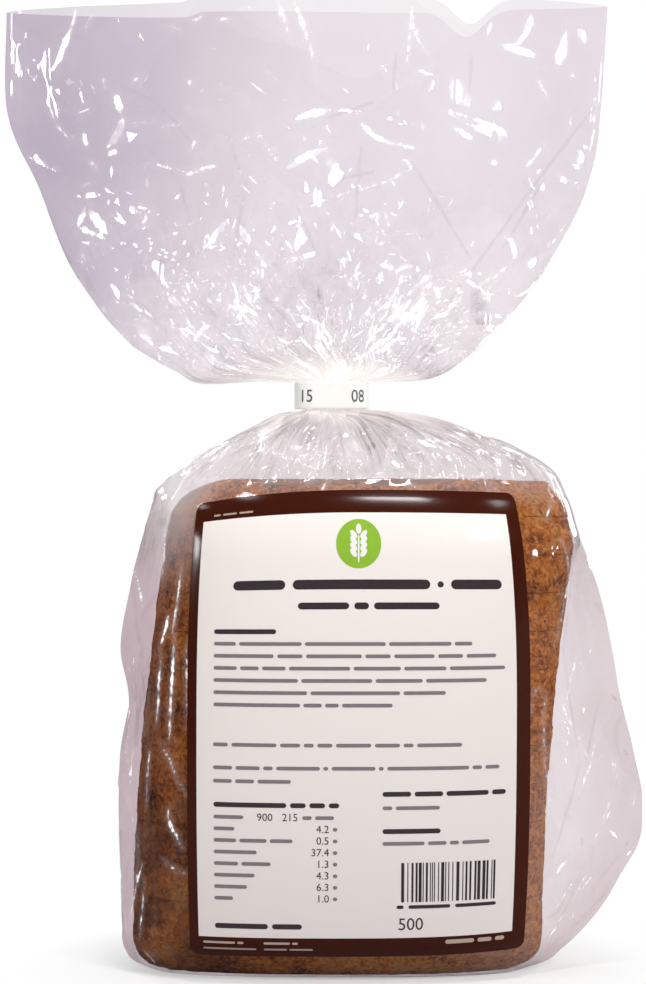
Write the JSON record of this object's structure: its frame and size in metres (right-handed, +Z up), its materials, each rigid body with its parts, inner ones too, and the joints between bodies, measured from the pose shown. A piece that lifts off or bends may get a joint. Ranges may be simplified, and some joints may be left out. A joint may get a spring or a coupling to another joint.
{
  "type": "loaf in bread bag",
  "caption": "Sliced dark loaf in a clear film bag, its neck gathered by a closure band below the flared open mouth, with a paper label on the front.",
  "frame": {"origin": "middle of the flat base that the bag stands on", "axes": "+Z up along the loaf to the bag's mouth, -Y out of the labelled front, +X to the right as seen from the front"},
  "size_m": [0.2045, 0.0727, 0.3095],
  "materials": {
    "film": "clear crisp film, creased and glossy",
    "bread": "baked crust and coarse dark crumb with seeds",
    "label_paper": "smooth printed paper with a dark brown border",
    "band_plastic": "smooth off-white strip"
  },
  "bodies": {
    "root": {"bag": "film", "label": "label_paper", "closure_band": "band_plastic"}
  },
  "joints": []
}
